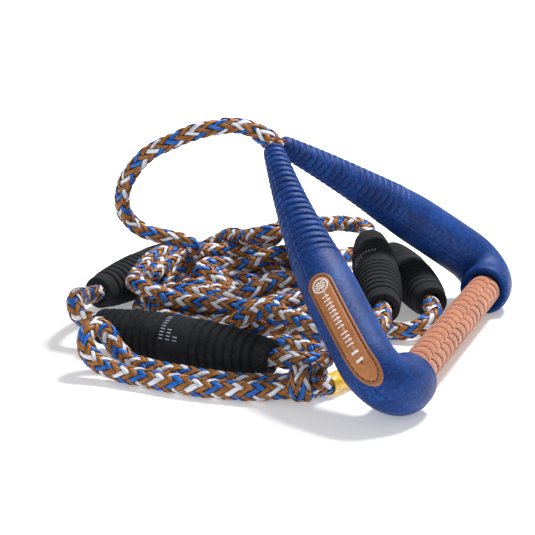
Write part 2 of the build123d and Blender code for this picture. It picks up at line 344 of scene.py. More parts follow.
def dashes(line, dash, gap):
    """A long line cut into dashes."""
    line = np.asarray(line, float)
    run = along(line)
    count = int(run[-1] / (dash + gap))
    starts = (np.arange(count) + 0.25) * run[-1] / count
    cut = []
    for start in starts:
        places = np.linspace(start, start + dash, DASH_POINTS)
        cut.append(np.stack([np.interp(places, run, line[:, k]) for k in range(line.shape[1])], -1))
    return cut


# ---------------------------------------------------------------- the rope's route
# Hand-laid stretches; the pile's turns between them are worked out below
ROUTES = {
    "lead": [
        (-0.100, -0.0021, 0.1785), (-0.1112, -0.0041, 0.1867), (-0.142, -0.024, 0.185),
        (-0.167, -0.030, 0.174), (-0.190, -0.033, 0.163), (-0.209, -0.034, 0.143),
        (-0.221, -0.028, 0.122), (-0.226, -0.016, 0.100), (-0.216, -0.005, 0.083),
        (-0.195, 0.002, 0.077), (-0.167, 0.010, 0.072),
    ],
    "right": [
        (-0.116, 0.060, 0.074), (-0.103, 0.097, 0.071), (-0.090, 0.134, 0.066), (-0.080, 0.166, 0.060),
        (-0.060, 0.174, 0.056), (-0.050, 0.150, 0.052), (0.018, -0.018, 0.035), (0.024, -0.048, 0.034),
        (0.012, -0.074, 0.035), (-0.015, -0.080, 0.038), (-0.046, -0.070, 0.042),
        (-0.076, -0.054, 0.045),
    ],
    "rear": [
        (-0.137, 0.102, 0.020), (-0.128, 0.146, 0.014), (-0.112, 0.184, 0.012), (-0.090, 0.218, 0.013),
        (-0.066, 0.228, 0.018), (-0.049, 0.210, 0.022), (0.042, 0.058, 0.022), (0.044, 0.038, 0.017),
        (0.033, 0.024, 0.011), (0.012, 0.020, 0.008), (-0.020, 0.022, 0.008), (-0.058, 0.020, 0.012),
    ],
    "left": [
        (-0.160, 0.120, 0.022), (-0.171, 0.146, 0.018), (-0.190, 0.166, 0.018), (-0.216, 0.171, 0.020),
        (-0.231, 0.149, 0.022), (-0.254, -0.034, 0.024), (-0.250, -0.054, 0.032),
        (-0.244, -0.074, 0.038), (-0.237, -0.090, 0.031), (-0.225, -0.092, 0.022),
        (-0.031, -0.115, 0.022), (-0.014, -0.104, 0.020), (-0.012, -0.084, 0.014),
        (-0.017, -0.066, 0.011), (-0.034, -0.058, 0.012), (-0.056, -0.054, 0.014),
    ],
    "end": [
        (-0.056, -0.024, 0.014), (-0.030, -0.026, 0.010), (-0.006, -0.028, 0.008),
        (0.013, -0.046, 0.008), (0.016, -0.084, 0.008), (0.002, -0.128, 0.009), (-0.006, -0.138, 0.012),
    ],
    "loop": [
        (-0.014, -0.131, 0.012), (-0.040, -0.137, 0.009), (-0.068, -0.140, 0.008),
        (-0.095, -0.142, 0.008), (-0.124, -0.140, 0.008), (-0.146, -0.136, 0.008),
        (-0.164, -0.133, 0.009), (-0.178, -0.130, 0.019), (-0.190, -0.129, 0.039),
        (-0.196, -0.148, 0.035), (-0.191, -0.155, 0.022), (-0.181, -0.156, 0.014),
        (-0.164, -0.157, 0.009), (-0.132, -0.159, 0.008), (-0.092, -0.161, 0.008),
        (-0.066, -0.158, 0.008), (-0.038, -0.153, 0.009), (-0.014, -0.144, 0.012),
    ],
}
# Each float sits on the straight run that starts at this point of this stretch
FLOATS = {
    "float_right": ("right", 5),
    "float_rear": ("rear", 5),
    "float_left": ("left", 4),
    "float_front": ("left", 9),
}
FLOAT_INSET = 0.014
FLOAT_END_RADIUS = 0.014
FLOAT_MIDDLE_RADIUS = 0.0205

# The turns between two stretches: how many, the half lengths and half widths they pass through, their
# heights and the phase of their unevenness
STRETCHES = ("lead", "right", "rear", "left", "end")
TURNS = (
    (1, ((0.090, 0.080), (0.092, 0.090)), (0.082, 0.080, 0.084, 0.085), 0.4),
    (4, ((0.092, 0.088), (0.084, 0.072), (0.092, 0.086), (0.074, 0.066), (0.090, 0.084)),
     (0.066, 0.064, 0.056, 0.047, 0.034, 0.022), 1.3),
    (2, ((0.070, 0.058), (0.084, 0.080), (0.090, 0.086)), (0.012, 0.020, 0.030, 0.024), 2.2),
    (3, ((0.088, 0.084), (0.070, 0.066), (0.086, 0.072)), (0.013, 0.032, 0.042, 0.030, 0.014), 3.6),
)
coil_low, coil_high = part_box("rope_coil")
PILE_CENTRE = np.array([(coil_low.x + coil_high.x) / 2, (coil_low.y + coil_high.y) / 2, 0.0])
PILE_TURN = radians(20)
LINK = 0.009                # length of one link of the rope while the pile settles
SETTLE_STEPS = 420


def lay_turns(start, end, count, halves, heights, phase):
    """Uneven oval turns, clockwise from above, from the end of one stretch to the start of the next."""
    start, end = np.array(start), np.array(end)
    c, s = cos(PILE_TURN), sin(PILE_TURN)

    def angle(place):
        x, y, _ = place - PILE_CENTRE
        return atan2((y * c - x * s) / halves[0][1], (x * c + y * s) / halves[0][0])

    sweep = -((angle(start) - angle(end)) % (2 * pi)) - 2 * pi * count
    t = np.linspace(0, 1, int(abs(sweep) * 10))
    theta = angle(start) + sweep * t
    stops = np.linspace(0, 1, len(halves))
    half_length = np.interp(t, stops, [h[0] for h in halves]) * (1 + 0.06 * np.sin(0.61 * theta + phase))
    half_width = np.interp(t, stops, [h[1] for h in halves]) * (1 + 0.09 * np.sin(0.47 * theta + 2 * phase))
    x, y = half_length * np.cos(theta), half_width * np.sin(theta)
    z = np.interp(t, np.linspace(0, 1, len(heights)), heights) + 0.006 * np.sin(1.7 * theta + phase)
    line = PILE_CENTRE + np.stack([x * c - y * s, x * s + y * c, z], -1)

    def fade(distance):
        d = np.clip(distance / 0.09, 0, 1)
        return ((1 - d) ** 2 * (1 + 2 * d))[:, None]

    run = along(line)
    line = line + (start - line[0]) * fade(run) + (end - line[-1]) * fade(run[-1] - run)
    return resample(line, LINK)


def float_ends(name):
    """The two ends of a float's axis."""
    stretch, index = FLOATS[name]
    a, b = (np.array(p) for p in ROUTES[stretch][index:index + 2])
    way = (b - a) / np.linalg.norm(b - a)
    return a + way * FLOAT_INSET, b - way * FLOAT_INSET


def float_bulge(t):
    """Outer radius of a float at t, 0 to 1 along it, without its ribs."""
    return FLOAT_END_RADIUS + (FLOAT_MIDDLE_RADIUS - FLOAT_END_RADIUS) * np.sin(pi * np.clip(t, 0, 1)) ** 0.8


def settle(points, held, stretch_of, others):
    """Let the loose links fall, keep their length, and push crossing links a rope's thickness apart."""
    count = len(points)
    every = np.vstack([points, others])
    free = ~np.concatenate([held, np.ones(len(others), bool)])
    order = np.arange(len(every))
    order[count:] += 100
    length = np.linalg.norm(np.diff(points, axis=0), axis=1)
    loose = (~held).astype(float)
    share = loose[:-1] + loose[1:] + 1e-9
    apart = ROPE_DIAMETER * 0.97
    floats = [(*float_ends(name), FLOATS[name][0]) for name in FLOATS]
    for step in range(SETTLE_STEPS):
        if step % 6 == 0:
            gap = ((every[:, None, :] - every[None, :, :]) ** 2).sum(-1)
            near = (gap < (apart * 1.5) ** 2) & (order[None, :] - order[:, None] > 4)
            first, second = np.nonzero(near)
        line = every[:count]
        line[1:-1] += 0.22 * (0.5 * (line[:-2] + line[2:]) - line[1:-1]) * loose[1:-1, None]
        line[:, 2] -= (0.00022 if step < SETTLE_STEPS * 0.75 else 0.00009) * loose
        for _ in range(3):
            link = np.diff(line, axis=0)
            size = np.linalg.norm(link, axis=1) + 1e-9
            excess = ((size - length) / size)[:, None] * link
            line[:-1] += excess * (loose[:-1] / share)[:, None] * 0.9
            line[1:] -= excess * (loose[1:] / share)[:, None] * 0.9
        between = every[first] - every[second]
        distance = np.linalg.norm(between, axis=1) + 1e-9
        over = np.clip(apart - distance, 0, None) / distance
        push = between * over[:, None]
        total, touches = np.zeros_like(every), np.ones(len(every))
        np.add.at(total, first, push)
        np.add.at(total, second, -push)
        np.add.at(touches, first, over > 0)
        np.add.at(touches, second, over > 0)
        every[free] += 0.6 * (total / np.sqrt(touches)[:, None])[free]
        line = every[:count]
        for a, b, own in floats:
            t = np.clip((line - a) @ (b - a) / ((b - a) @ (b - a)), 0, 1)
            away = line - (a + t[:, None] * (b - a))
            clear = np.linalg.norm(away, axis=1) + 1e-9
            over = float_bulge(t) + ROPE_DIAMETER / 2 - clear
            hit = (over > 0) & ~held & (stretch_of != own)
            line[hit] += away[hit] / clear[hit, None] * over[hit, None]
        line[:, 2] = np.where(held, line[:, 2], np.maximum(line[:, 2], ROPE_DIAMETER / 2 + 0.0001))
    return every[:count]


def lay_rope():
    """The whole rope: {stretch: its route} and the settled turns that follow each stretch but the last."""
    points, held, stretch_of, loose_parts = [], [], [], []
    for k, name in enumerate(STRETCHES):
        line = resample(nurbs_line(ROUTES[name]), LINK)
        fixed = np.ones(len(line), bool)
        fixed[:0 if name == "lead" else 2] = False
        if name != "end":
            fixed[-8 if name == "lead" else -3:] = False
        points.append(line if k == 0 else line[1:])
        held.append(fixed if k == 0 else fixed[1:])
        stretch_of += [name] * len(points[-1])
        if k < len(TURNS):
            turn = lay_turns(ROUTES[name][-1], ROUTES[STRETCHES[k + 1]][0], *TURNS[k])[1:]
            begin = sum(len(p) for p in points)
            loose_parts.append((begin, begin + len(turn)))
            points.append(turn)
            held.append(np.zeros(len(turn), bool))
            stretch_of += [""] * len(turn)
    others = resample(nurbs_line(ROUTES["loop"]), LINK)
    settled = settle(np.vstack(points), np.concatenate(held), np.array(stretch_of), others)
    return [settled[a:b] for a, b in loose_parts]


def rope_lines():
    """Control points of each length of rope, cut inside the floats, and its name."""
    turns = [[tuple(p) for p in turn[3:-3:3]] for turn in lay_rope()]
    whole = []
    for k, name in enumerate(STRETCHES):
        whole += [(name, i, p) for i, p in enumerate(ROUTES[name])]
        if k < len(turns):
            whole += [("", -1, p) for p in turns[k]]
    cuts = {(stretch, index) for stretch, index in FLOATS.values()}
    lines, current = [], []
    for item, following in zip(whole, whole[1:] + [None]):
        current.append(item[2])
        if item[:2] in cuts:
            middle = tuple((a + b) / 2 for a, b in zip(item[2], following[2]))
            lines.append(current + [middle])
            current = [middle]
    lines.append(current)
    return lines


# ---------------------------------------------------------------- braid
STRANDS_PER_WAY = 8
BRAID_STEP = 0.0028
BRAID_RADIUS = 0.0062
BRAID_RISE = 0.00085
STRAND_WIDTH = 0.0046
STRAND_HEIGHT = 0.0020
STRAND_SHAPE = ((-1.0, -0.1), (-0.66, 0.72), (0.0, 1.0), (0.66, 0.72), (1.0, -0.1), (0.0, -0.7))
PILE_ANGLE = radians(31)
LEAD_ANGLE = radians(24)
COLOUR_ORDER = (0, 1, 2, 1)


def yarn_places(run, strand):
    """For each point of a strand: its place across the strand, its run along it and the strand's number."""
    places = np.zeros((len(run), len(STRAND_SHAPE), 3))
    places[:, :, 0] = [x for x, _ in STRAND_SHAPE]
    places[:, :, 1] = run[:, None]
    places[:, :, 2] = strand
    return places.reshape(-1, 3)


def write_yarn(piece, places):
    """Keeps the strands' own coordinates on a piece, for the yarn materials."""
    layer = piece.data.attributes.new("yarn", "FLOAT_VECTOR", "POINT")
    layer.data.foreach_set("vector", places.astype(np.float32).ravel())


def braid(name, line, radius=BRAID_RADIUS, angle=PILE_ANGLE, step=BRAID_STEP, seed=1):
    """A hollow braid of sixteen flat strands round a line; radius and angle may change along it."""
    line = resample(line, step)
    count = len(line)
    _, side, top = level_frames(line)
    run = along(line)
    radius = np.broadcast_to(radius, (count,)).astype(float)
    angle = np.broadcast_to(angle, (count,))
    turning = np.tan(angle) / radius
    twist = np.concatenate([[0.0], np.cumsum(0.5 * (turning[1:] + turning[:-1]) * np.diff(run))])
    random = np.random.default_rng(seed)
    verts, faces, colours, yarn = [], [], [], []
    for way in (1, -1):
        for index in range(STRANDS_PER_WAY):
            theta = way * twist + 2 * pi * index / STRANDS_PER_WAY
            lift = way * np.clip(1.5 * np.cos(4 * theta - pi / 4), -1, 1) * BRAID_RISE
            wander = random.uniform(0, 2 * pi)
            loose = 1 + 0.055 * np.sin(run * 90 + wander)
            outward = side * np.cos(theta)[:, None] + top * np.sin(theta)[:, None]
            centre = line + outward * (radius * loose + lift)[:, None]
            heading = unit(np.gradient(centre, axis=0))
            across = unit(np.cross(heading, outward))
            normal = np.cross(across, heading)
            scale = radius / BRAID_RADIUS
            width = STRAND_WIDTH / 2 * scale * (1 + 0.16 * np.sin(run * 130 + 2 * wander))
            first = sum(len(v) for v in verts)
            ring = [centre + across * (x * width)[:, None] + normal * (y * STRAND_HEIGHT / 2 * scale)[:, None]
                    for x, y in STRAND_SHAPE]
            verts.append(np.stack(ring, 1).reshape(-1, 3))
            strand_faces = tube_faces(count, len(STRAND_SHAPE), first)
            faces += strand_faces
            order = index if way > 0 else 1 - index
            colours += [COLOUR_ORDER[order % 4]] * len(strand_faces)
            yarn.append(yarn_places(run, index + (0 if way > 0 else 20) + seed * 50))
    piece = mesh_object(name, np.vstack(verts), faces, YARNS, slot="rope", slots_of_faces=colours)
    write_yarn(piece, np.vstack(yarn))
    return piece


SPLICE_WAY = unit(np.array((-0.80, -0.14, 0.58)))
SPLICE_PLACE = np.array(ROUTES["lead"][0]) - SPLICE_WAY * 0.015
SPLICE_BELOW = 0.006
SPLICE_ABOVE = 0.020
SPLICE_STEP = 0.0014
SPLICE_RUN = (0.0, 0.006, 0.013, 0.020, 0.026)
SPLICE_RADII = (0.0034, 0.0052, 0.0068, 0.0063, 0.0056)
LOOSE_WIDTH = 0.0040
LOOSE_STRANDS = (   # colour and points, in millimetres from the splice's place
    (1, ((0, -6, 2), (2, -6, 6), (6, -4, 7), (10, -2, 5), (11, -1, 2))),
    (1, ((-5, 0, 4), (-8, 2, 12), (-14, 2, 14), (-20, 0, 10), (-23, -2, 12))),
    (0, ((-3, -3, 2), (-8, -6, 4), (-15, -7, 6), (-21, -5, 9), (-25, -3, 13))),
    (2, ((-3, 3, 5), (-9, 5, 11), (-16, 4, 12), (-23, 0, 11), (-27, -3, 14))),
    (1, ((-2, -3, 0), (-8, -5, 1), (-15, -6, 4), (-21, -4, 8), (-25, -3, 11))),
    (2, ((-2, 0, 2), (-7, -6, 8), (-13, -7, 10), (-20, -5, 12), (-26, -4, 16))),
    (0, ((2, 4, 5), (-3, 6, 10), (-9, 6, 12), (-14, 3, 12), (-20, 0, 13))),
)


def loose_strand(name, points, colour):
    """One flat strand that has worked loose, along a smooth line."""
    line = resample(nurbs_line(points), 0.0012)
    _, side, top = level_frames(line)
    ring = [line + side * (x * LOOSE_WIDTH / 2) + top * (y * STRAND_HEIGHT / 2) for x, y in STRAND_SHAPE]
    faces = tube_faces(len(line), len(STRAND_SHAPE))
    piece = mesh_object(name, np.stack(ring, 1).reshape(-1, 3), faces, [YARNS[colour]], slot="rope")
    write_yarn(piece, yarn_places(along(line), 400 + colour))


def make_splice():
    """The flared start of the braid between the arms' tips, with strands that bulge out of it."""
    ends = [SPLICE_PLACE - SPLICE_WAY * SPLICE_BELOW, SPLICE_PLACE + SPLICE_WAY * SPLICE_ABOVE]
    line = resample(np.array(ends), SPLICE_STEP)
    radius = np.interp(along(line), SPLICE_RUN, SPLICE_RADII)
    throat = braid("apex_throat", line, radius, LEAD_ANGLE, step=SPLICE_STEP, seed=21)
    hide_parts("apex_splice")
    for k, (colour, points) in enumerate(LOOSE_STRANDS):
        loose_strand("apex_strand_%d" % k, [SPLICE_PLACE + MM * np.array(p) for p in points], colour)


KNOT_TURNS = 2.3
KNOT_RADIUS = 0.0054


def make_knot():
    """The hand knot: the rope's tail wound round both sides of the boat loop and tucked under itself."""
    x, y, _ = ROUTES["end"][-1]
    t = np.linspace(0, 1, 46)
    turn = 2 * pi * KNOT_TURNS * t - 0.6
    wide = 0.0108 + 0.0012 * np.sin(turn * 0.5)
    line = np.stack([x - 0.0125 + 0.017 * t + 0.0022 * np.sin(turn * 0.5 + 0.4), y + wide * np.cos(turn),
                     0.0158 + 0.0088 * np.sin(turn)], -1)
    return braid("loop_knot_wraps", nurbs_line([tuple(p) for p in line]), KNOT_RADIUS, PILE_ANGLE, seed=31)


SLEEVE_LENGTH = 0.034
SLEEVE_WALL = 0.0006
SLEEVE_RADIUS = 0.0084
SLEEVE_SPREAD = 1.05        # wider than it is high, because the floor presses it flat
SLEEVE_SQUASH = 0.97


def make_sleeve():
    """A plain vinyl sleeve on the rope's end, a little wrinkled and pressed flat by the floor."""
    a, b = np.array(ROUTES["end"][4]), np.array(ROUTES["end"][5])
    way = unit(b - a)
    middle = (a + b) / 2
    side = unit(np.cross(way, (0.0, 0.0, 1.0)))
    top = np.cross(side, way)
    x = np.linspace(-SLEEVE_LENGTH / 2, SLEEVE_LENGTH / 2, 60)
    turn = np.linspace(0, 2 * pi, 72, endpoint=False)
    verts = []
    for inside in (0, 1):
        grid_x, grid_turn = np.meshgrid(x[::-1] if inside else x, turn, indexing="ij")
        crease = 0.00030 * np.sin(420 * grid_x + 3 * np.sin(2 * grid_turn))
        crease += 0.00025 * np.sin(5 * grid_turn + 90 * grid_x)
        reach = SLEEVE_RADIUS + crease - inside * SLEEVE_WALL
        across = SLEEVE_SPREAD * reach[..., None] * np.cos(grid_turn)[..., None] * side
        up = SLEEVE_SQUASH * reach[..., None] * np.sin(grid_turn)[..., None] * top
        verts.append(middle + grid_x[..., None] * way + across + up)
    verts = np.concatenate(verts)
    count, rows = len(turn), len(verts)
    faces = grid_faces(rows, count)
    last = (rows - 1) * count
    faces += [[last + k, last + (k + 1) % count, (k + 1) % count, k] for k in range(count)]
    return mesh_object("sleeve", verts.reshape(-1, 3), faces, [vinyl], slot="tag_vinyl")


# The rope's parts in the order they leave the apex, each with the length of its drawn line
ROPE_NAMES = ("rope_lead_length", "rope_right_length", "rope_rear_length", "rope_left_length",
              "rope_end_length")
ROPE_LENGTHS = (1.20, 2.61, 1.53, 0.265, 1.92)
THIN_RADIUS = 0.0054        # the free loop's braid, pulled longer and thinner than the pile's
THIN_RUN = 0.30
THICKEN_RUN = 0.08
REPLACED = (("rope_lead", "rope_coil"), ("rope_right",), ("rope_rear",), ("rope_left",), ("rope_end",))


def make_ropes():
    lines = rope_lines()
    knot, sleeve = make_knot(), make_sleeve()
    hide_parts("loop_knot")
    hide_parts("label_tag")
    for k, (name, points, length, nodes) in enumerate(zip(ROPE_NAMES, lines, ROPE_LENGTHS, REPLACED)):
        line = resample(nurbs_line(points), BRAID_STEP)
        radius, angle = BRAID_RADIUS, PILE_ANGLE
        if k == 0:
            run = along(line)
            ease = np.clip((run - THIN_RUN) / THICKEN_RUN, 0, 1)
            radius = THIN_RADIUS + (BRAID_RADIUS - THIN_RADIUS) * ease
            angle = LEAD_ANGLE + (PILE_ANGLE - LEAD_ANGLE) * ease
        piece = braid(name, line, radius, angle, seed=k + 1)
        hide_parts(*nodes)
    loop = resample(nurbs_line(ROUTES["loop"]), BRAID_STEP)
    piece = braid("boat_loop", loop, seed=9)
    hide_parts("rope_loop")


make_splice()
make_ropes()


# ---------------------------------------------------------------- the handle's two arms
BAR = np.array(bar_middle)
P_AXIS = np.array((0.0, 1.0, 0.0))                      # along the bar
Q_AXIS = np.array((-cos(LEAN), 0.0, sin(LEAN)))         # from the bar to the apex
UPPER = np.array((sin(LEAN), 0.0, cos(LEAN)))           # out of the handle's upper face
TIP_ROUND = 0.0055
RIB_DEPTH = 0.0021
SEAM_HEIGHT = 0.00055
SEAM_HALF_WIDTH = 0.00055

curve = (ELBOW_HEADING - TIP_HEADING) / ARM_LENGTH
elbow_p = TIP_SIDE + (cos(TIP_HEADING) - cos(ELBOW_HEADING)) / curve - ELBOW_BEND * cos(ELBOW_HEADING)
TIP_Q = (sin(ELBOW_HEADING) - sin(TIP_HEADING)) / curve + ELBOW_BEND * (1 + sin(ELBOW_HEADING))
BEND_LENGTH = (ELBOW_HEADING + pi / 2) * ELBOW_BEND
ARM_END = ARM_LENGTH + BEND_LENGTH + elbow_p - MOUTH    # run from the tip to the mouth


def arm_station(run, side):
    """Centre points, travel ways and outward normals of an arm at each value of run."""
    run = np.asarray(run, float)
    on_bend = np.clip(run - ARM_LENGTH, 0, BEND_LENGTH)
    heading = TIP_HEADING + curve * np.minimum(run, ARM_LENGTH) - on_bend / ELBOW_BEND
    p = TIP_SIDE + (cos(TIP_HEADING) - np.cos(heading)) / curve
    q = TIP_Q - (np.sin(heading) - sin(TIP_HEADING)) / curve
    bent = run > ARM_LENGTH
    p = np.where(bent, elbow_p + ELBOW_BEND * np.cos(heading), p)
    q = np.where(bent, ELBOW_BEND + ELBOW_BEND * np.sin(heading), q)
    p = p - np.clip(run - ARM_LENGTH - BEND_LENGTH, 0, None)
    place = BAR + side * p[:, None] * P_AXIS + q[:, None] * Q_AXIS
    way = side * np.sin(heading)[:, None] * P_AXIS - np.cos(heading)[:, None] * Q_AXIS
    outward = side * np.cos(heading)[:, None] * P_AXIS + np.sin(heading)[:, None] * Q_AXIS
    return place, way, outward


def arm_radius(run):
    """Radius of the foam without its ribs, eased between the sizes measured along it."""
    fine = np.linspace(-0.05, 0.4, 901)
    rough = np.interp(fine, *zip(*ARM_RADII))
    eased = np.convolve(np.pad(rough, 30, "edge"), np.ones(61) / 61, "valid")
    return np.interp(run, fine, eased)


def rib_shape(run, turn):
    """Height of the moulded ribs: broad soft crests and narrow grooves that waver a little."""
    waver = 0.00045 * np.sin(2 * turn + 0.8) + 0.00025 * np.sin(3 * turn + 260 * run)
    phase = (run + waver - RIB_START) / RIB_PITCH
    nearest = np.round(phase)
    off = np.abs(phase - nearest)
    groove = np.clip(1 - off / 0.19, 0, 1) ** 1.4
    crest = 0.0007 * np.sin(pi * np.clip(off, 0, 0.5))
    fade = np.clip((RIB_COUNT - nearest) / 3.0, 0, 1) * (nearest > -0.5)
    inside = np.clip((phase + 0.5) * 4, 0, 1) * np.clip((RIB_COUNT - 0.5 - phase) * 2, 0, 1)
    at_seam = 1 - 0.6 * np.exp(-(np.sin(turn) / 0.10) ** 2)
    return (crest - RIB_DEPTH * groove * at_seam * fade) * inside


MOUTH_PROFILE = (   # distance back from the mouth and radius, over the lip and down to the recess's floor
    (0.0064, 0.0227), (0.0052, 0.0226), (0.0046, 0.0217), (0.0040, 0.0223), (0.0028, 0.0225),
    (0.0013, 0.0221),
    (0.0003, 0.0210), (0.0, 0.0199), (0.0003, 0.0189), (0.0009, 0.0181), (0.0015, 0.0175), (0.0020, 0.0168),
    (0.0021, 0.0160), (0.0024, 0.0154), (0.0050, 0.0152),
)


def make_arm(name, side):
    """One moulded arm as a mesh: rounded tip, ribs, seam, elbow and the lip of its mouth."""
    tip = TIP_ROUND * (1 - np.cos(np.linspace(0.02, 1, 12) * pi / 2)) - 0.0008
    ribbed = np.arange(tip[-1] + 0.0006, RIB_START + RIB_COUNT * RIB_PITCH, 0.0006)
    smooth = np.arange(ribbed[-1] + 0.0015, ARM_END - MOUTH_PROFILE[0][0] - 0.0010, 0.0016)
    run = np.concatenate([tip, ribbed, smooth])
    radius = arm_radius(run)
    dome = np.clip((run + 0.0008) / TIP_ROUND, 0, 1)
    radius = radius * np.sqrt(1 - (1 - dome) ** 2.4)
    lip = np.array(MOUTH_PROFILE)
    fine = resample(np.column_stack([ARM_END - lip[:, 0], lip[:, 1], 0 * lip[:, 1]]), 0.0005)
    fine[1:-1] = (fine[:-2] + 2 * fine[1:-1] + fine[2:]) / 4
    run, radius = np.concatenate([run, fine[:, 0]]), np.concatenate([radius, fine[:, 1]])

    count = 144
    even = np.linspace(0, 2 * pi, count, endpoint=False)
    turn = even - 0.42 * np.sin(2 * even)               # closer together at the two seams
    grid_run, grid_turn = np.meshgrid(run, turn, indexing="ij")
    height = rib_shape(grid_run, grid_turn)
    body = np.clip((ARM_END - 0.008 - run) / 0.01, 0, 1) * np.clip(run / 0.012, 0, 1)
    from_seam = np.abs(radius[:, None] * np.sin(grid_turn))
    height += body[:, None] * SEAM_HEIGHT * np.exp(-(from_seam / SEAM_HALF_WIDTH) ** 2)
    height -= body[:, None] * 0.00022 * np.exp(-((from_seam - 0.0013) / 0.0006) ** 2)
    wave = np.sin(37 * grid_run + 1.7 * np.cos(grid_turn))
    height += body[:, None] * 0.00025 * wave * np.sin(2 * grid_turn + 1)
    place, _, outward = arm_station(run, side)
    reach = (radius[:, None] + height)[..., None]
    direction = outward[:, None, :] * np.cos(grid_turn)[..., None] + UPPER * np.sin(grid_turn)[..., None]
    verts = (place[:, None, :] + reach * direction).reshape(-1, 3)
    faces = grid_faces(len(run), count)
    faces.append(list(reversed(range(count))))
    if side < 0:
        faces = [face[::-1] for face in faces]
    arm = mesh_object(name, verts, faces, [blue_foam], slot="arm_foam")
    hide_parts("near_arm" if side < 0 else "far_arm")


make_arm("near_arm_foam", -1)
make_arm("far_arm_foam", 1)

LEG_RADIUS = 0.0038
LEG_INSIDE = 0.005          # how far inside the arm's tip a leg starts
LEG_OUT = 0.0015            # how far it stands out before it bends
LEG_RISE = ((0.002, 0.0045), (0.007, 0.0015), (0.013, 0.0))    # then up the splice, and to the side


def make_leg(name, side):
    """A leg of the yoke, from inside an arm's tip round into the throat of the splice."""
    place, way, _ = arm_station([LEG_INSIDE, 0.0], side)
    points = [place[0], place[1] - way[1] * LEG_OUT]
    points += [SPLICE_PLACE + SPLICE_WAY * up + P_AXIS * side * out for up, out in LEG_RISE]
    line = nurbs_line([tuple(p) for p in points])
    braid(name, line, LEG_RADIUS, LEAD_ANGLE, step=SPLICE_STEP, seed=40 + side)


make_leg("near_leg", -1)
make_leg("far_leg", 1)


# ---------------------------------------------------------------- leather patch
PATCH_START = 0.158
PATCH_LENGTH = 0.088
PATCH_HALF_WIDTH = 0.0105
PATCH_TURN = radians(18)
PATCH_PROFILE = (   # distance in from the edge and height over the foam
    (0.0, -0.0004), (0.0001, 0.0009), (0.0005, 0.0015), (0.0011, 0.0018), (0.0017, 0.0016), (0.0021, 0.0011),
    (0.0024, 0.0007), (0.0028, 0.0007), (0.0031, 0.0011), (0.0036, 0.0013), (0.0046, 0.0014),
    (0.0065, 0.00145),
    (0.0085, 0.00145), (0.0101, 0.00145),
)
PATCH_FACE = 0.00145


def patch_surface(a, b, height):
    """A point over the near arm: a along the patch, b across it, both from the patch's middle."""
    run = PATCH_START + PATCH_LENGTH / 2 + np.asarray(a, float)
    place, _, outward = arm_station(run, -1)
    radius = arm_radius(run)
    turn = PATCH_TURN + np.asarray(b, float) / radius
    direction = outward * np.cos(turn)[:, None] + UPPER * np.sin(turn)[:, None]
    return place + (radius + height)[:, None] * direction


def stadium(inset, count=120):
    """An oval with straight sides, inset from the patch's edge, as (a, b) points."""
    half, radius = PATCH_LENGTH / 2 - PATCH_HALF_WIDTH, PATCH_HALF_WIDTH - inset
    around = count // 4
    end = np.linspace(-pi / 2, pi / 2, around)
    straight = np.linspace(half, -half, around + 2)[1:-1]
    a = np.concatenate([half + radius * np.cos(end), straight, -half - radius * np.cos(end), -straight])
    level = 0 * straight
    b = np.concatenate([radius * np.sin(end), radius + level, -radius * np.sin(end), -radius + level])
    return np.stack([a, b], -1)


def make_patch():
    """The patch with its rolled edge, stitched groove and printed marks."""
    rings = [patch_surface(*stadium(inset).T, height) for inset, height in PATCH_PROFILE]
    count = len(rings[0])
    verts = np.vstack(rings)
    faces = [face[::-1] for face in grid_faces(len(rings), count)]
    colours = [1 if face[0] // count < 5 or face[-1] // count < 5 else 0 for face in faces]
    last, quarter = (len(rings) - 1) * count, count // 4
    for k in range(quarter + 1):                        # across the face between the straight sides
        near, far = quarter - 1 + k, -k % count
        faces.append([last + near, last + near + 1, last + (far - 1) % count, last + far])
    faces.append([last + k for k in range(quarter)])
    faces.append([last + 2 * quarter + k for k in range(quarter)])
    patch = mesh_object("patch", verts, faces, [leather, leather_edge], slot="patch_leather",
                        slots_of_faces=colours + [0] * (len(faces) - len(colours)))
    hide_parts("arm_patch")
    groove = stadium(0.0026)
    stitches = dashes(np.vstack([groove, groove[:1]]), 0.0019, 0.0009)
    thread = mesh_object("patch_thread", *strips(patch_surface, stitches, 0.0007, 0.0006, 0.0013),
                         [dark_thread], slot="stitch")
    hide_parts("patch_stitching")

    centre = -PATCH_LENGTH / 2 + PATCH_HALF_WIDTH + 0.0005
    circle = np.linspace(0, 2 * pi, 49)
    marks = [np.stack([centre + 0.0056 * np.cos(circle), 0.0056 * np.sin(circle)], -1)]
    ripple = np.linspace(-1, 1, 17)
    for shift, reach in ((-0.0022, 0.0034), (0.0, 0.0042), (0.0022, 0.0034)):
        marks.append(np.stack([centre + shift + 0.0007 * np.sin(ripple * 2 * pi), ripple * reach], -1))
    bar = centre + 0.0105
    for group in (9, 4, 2):
        for k in range(group):
            marks.append([(bar, -0.0027), (bar, 0.0), (bar, 0.0027)])
            bar += 0.0035
        bar += 0.0026
    raised = strips(patch_surface, marks, 0.0014, PATCH_FACE - 0.0002, PATCH_FACE + 0.00018)
    mesh_object("patch_marks", *raised, [white_print], slot="patch_leather")


make_patch()


# ---------------------------------------------------------------- suede grip
GRIP_RADIUS = 0.0150
WRAP_END = 0.1202
PUCKER_COLUMNS = 4
PUCKER_PITCH = 0.0126
PUCKER_SAG = 0.0058
PUCKER_HEIGHT = 0.0019
SEAM_TURN = radians(50)
PUCKER_DRIFT = 0.14
STITCH_BACK = 0.0010


def pucker_edge(u):
    """How far a pucker's edge bows towards the far elbow, u across its column."""
    return PUCKER_SAG * np.clip(np.sin(pi * np.clip(u, 0, 1)), 0, 1) ** 0.7


